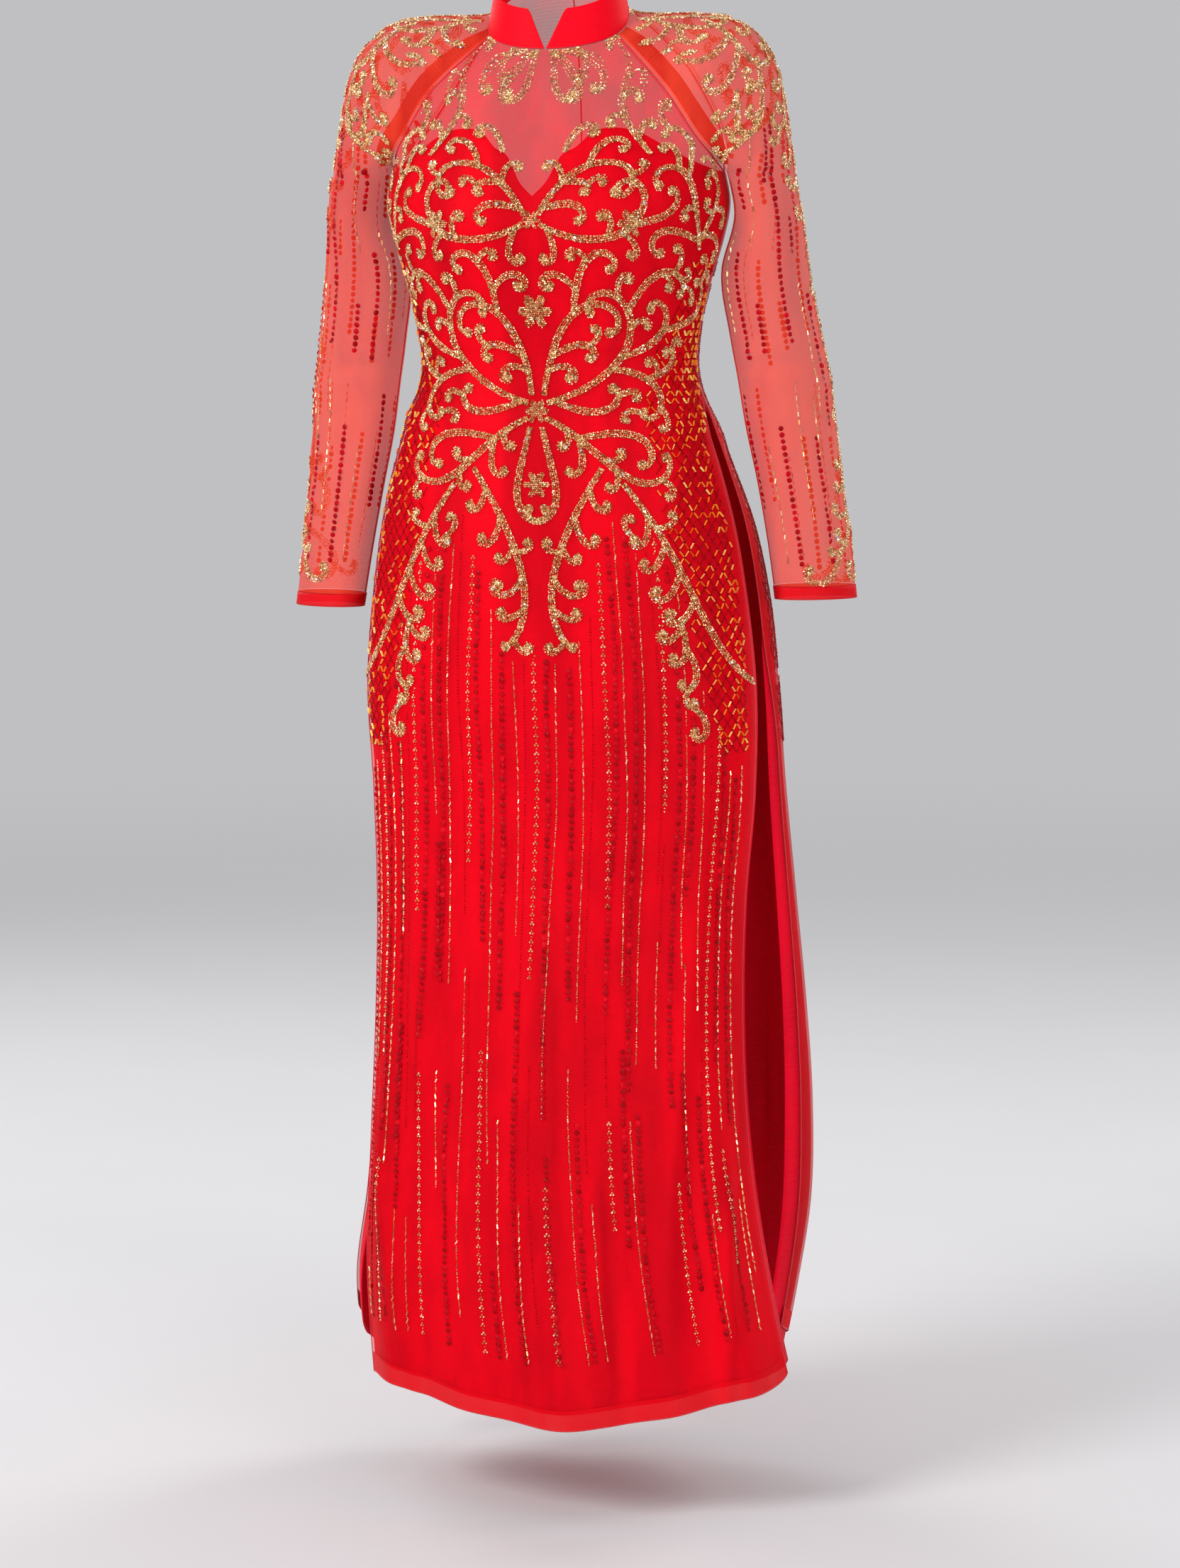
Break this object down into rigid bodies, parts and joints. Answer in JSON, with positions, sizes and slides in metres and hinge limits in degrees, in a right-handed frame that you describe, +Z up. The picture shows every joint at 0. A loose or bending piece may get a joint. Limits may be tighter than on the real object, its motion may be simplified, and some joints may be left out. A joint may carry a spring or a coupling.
{
  "type": "ao dai tunic",
  "caption": "Long-sleeved ao dai tunic as worn: stand collar, net yoke and raglan sleeves, lined front and back panels slit from the waist, as hollow cloth.",
  "frame": {"origin": "where the wearer holds it: on the body's centre line, level with the sides of the neck", "axes": "+Z up, the front faces -Y, +X is the wearer's left"},
  "size_m": [0.5662, 0.364, 1.4341],
  "materials": {
    "front_net": "sheer red net sewn with gold and dark red beads",
    "front_lining": "bright red crepe",
    "back_net": "sheer red net with beaded edges",
    "back_lining": "crimson crepe",
    "collar": "bright red crepe, stiffened",
    "sleeve_left": "sheer red net sewn with bead lines",
    "sleeve_right": "sheer red net sewn with bead lines",
    "cuff_left": "doubled red net hem",
    "cuff_right": "doubled red net hem",
    "raglan_strip_left": "bright red crepe",
    "raglan_strip_right": "bright red crepe"
  },
  "bodies": {
    "root": {"front_net": "front_net", "front_lining": "front_lining", "back_net": "back_net", "back_lining": "back_lining", "collar": "collar", "sleeve_left": "sleeve_left", "sleeve_right": "sleeve_right", "cuff_left": "cuff_left", "cuff_right": "cuff_right", "raglan_strip_left": "raglan_strip_left", "raglan_strip_right": "raglan_strip_right"}
  },
  "joints": []
}
